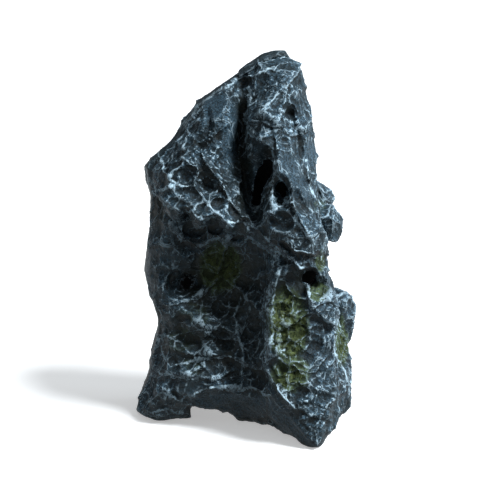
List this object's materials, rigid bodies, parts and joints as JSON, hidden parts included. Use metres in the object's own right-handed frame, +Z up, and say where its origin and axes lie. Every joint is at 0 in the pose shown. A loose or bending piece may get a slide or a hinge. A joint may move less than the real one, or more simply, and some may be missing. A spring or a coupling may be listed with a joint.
{
  "type": "aquarium cave ornament",
  "caption": "Tall hollow cast-resin rock with an overhanging crag, a recess, a mossy buttress, clefts and an open back, standing on soft pads.",
  "frame": {"origin": "middle of the base, on the surface that the pads stand on", "axes": "+Z up, the front with the recess and the buttress faces -Y, the buttress is on +X"},
  "size_m": [0.148, 0.1152, 0.24],
  "materials": {
    "slate_resin": "dark blue-grey cast resin with light dry-brushed edges, satin to matte",
    "bare_resin": "smooth dark cast resin",
    "epoxy": "dark grey filled epoxy, matte",
    "moss_flock": "short yellow-green nylon flock",
    "foot_pad": "soft black foam rubber"
  },
  "bodies": {
    "root": {"front_panel": "slate_resin", "buttress": "slate_resin", "crag_front": "slate_resin", "crag_rear": "bare_resin", "rear_panel": "bare_resin", "crag_bond": "epoxy", "plinth_seam": "epoxy", "crag_seam": "epoxy", "buttress_bond": "epoxy", "side_knob": "slate_resin", "side_ledge": "slate_resin", "rear_lump": "slate_resin", "crown_slab": "bare_resin", "buttress_moss": "moss_flock", "recess_moss": "moss_flock", "side_moss": "moss_flock", "pad_front_left": "foot_pad", "pad_nose": "foot_pad", "pad_rear_right": "foot_pad", "pad_rear_left": "foot_pad"}
  },
  "joints": []
}
